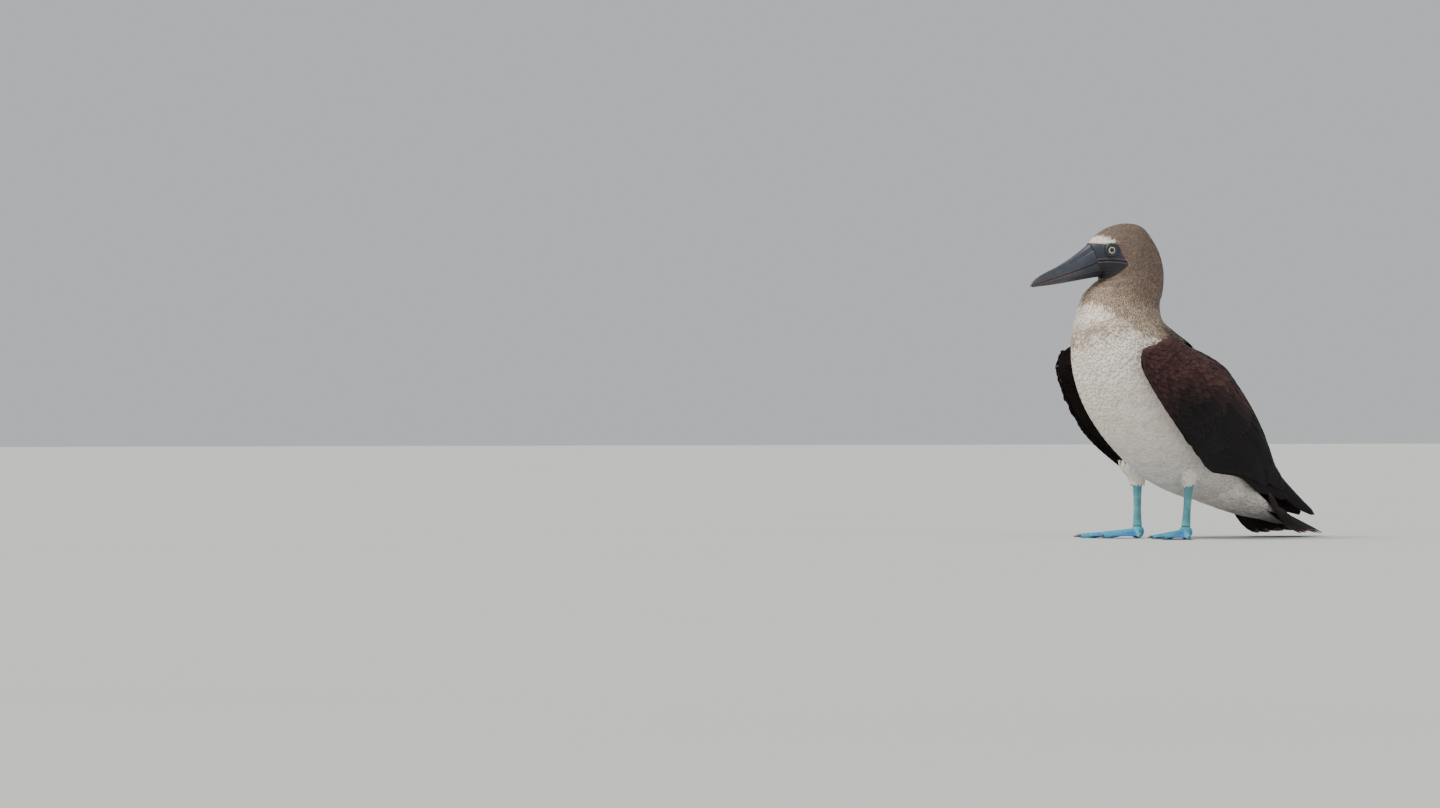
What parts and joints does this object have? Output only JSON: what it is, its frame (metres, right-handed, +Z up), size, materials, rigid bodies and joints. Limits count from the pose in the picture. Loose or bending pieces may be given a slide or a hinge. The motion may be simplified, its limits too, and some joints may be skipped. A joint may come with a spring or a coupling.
{
  "type": "blue footed booby",
  "caption": "Life-size blue footed booby standing still on webbed blue feet, wings folded, head turned a little to its right.",
  "frame": {"origin": "middle of the footprint's bounding box, at floor level under the bird", "axes": "+Z up, the bird's body faces -Y, its left side is +X"},
  "size_m": [0.202, 0.4766, 0.4015],
  "materials": {
    "white_plumage": "matte, soft",
    "streaked_plumage": "matte, soft",
    "brown_plumage": "matte, soft",
    "tail_plumage": "matte, soft",
    "eye": "wet gloss",
    "bill": "satin",
    "leg_skin": "satin",
    "web_skin": "satin",
    "claw": "satin"
  },
  "bodies": {
    "root": {"bill_lower": "bill", "bill_upper": "bill", "claw_left_1": "claw", "claw_left_2": "claw", "claw_left_3": "claw", "claw_left_4": "claw", "claw_right_1": "claw", "claw_right_2": "claw", "claw_right_3": "claw", "claw_right_4": "claw", "eye_left": "eye", "eye_right": "eye", "foot_left": "web_skin", "foot_right": "web_skin", "head": "streaked_plumage", "neck": "streaked_plumage", "shank_left": "leg_skin", "shank_right": "leg_skin", "tail": "tail_plumage", "thigh_left": "white_plumage", "thigh_right": "white_plumage", "torso": "white_plumage", "wing_left": "brown_plumage", "wing_right": "brown_plumage"}
  },
  "joints": []
}
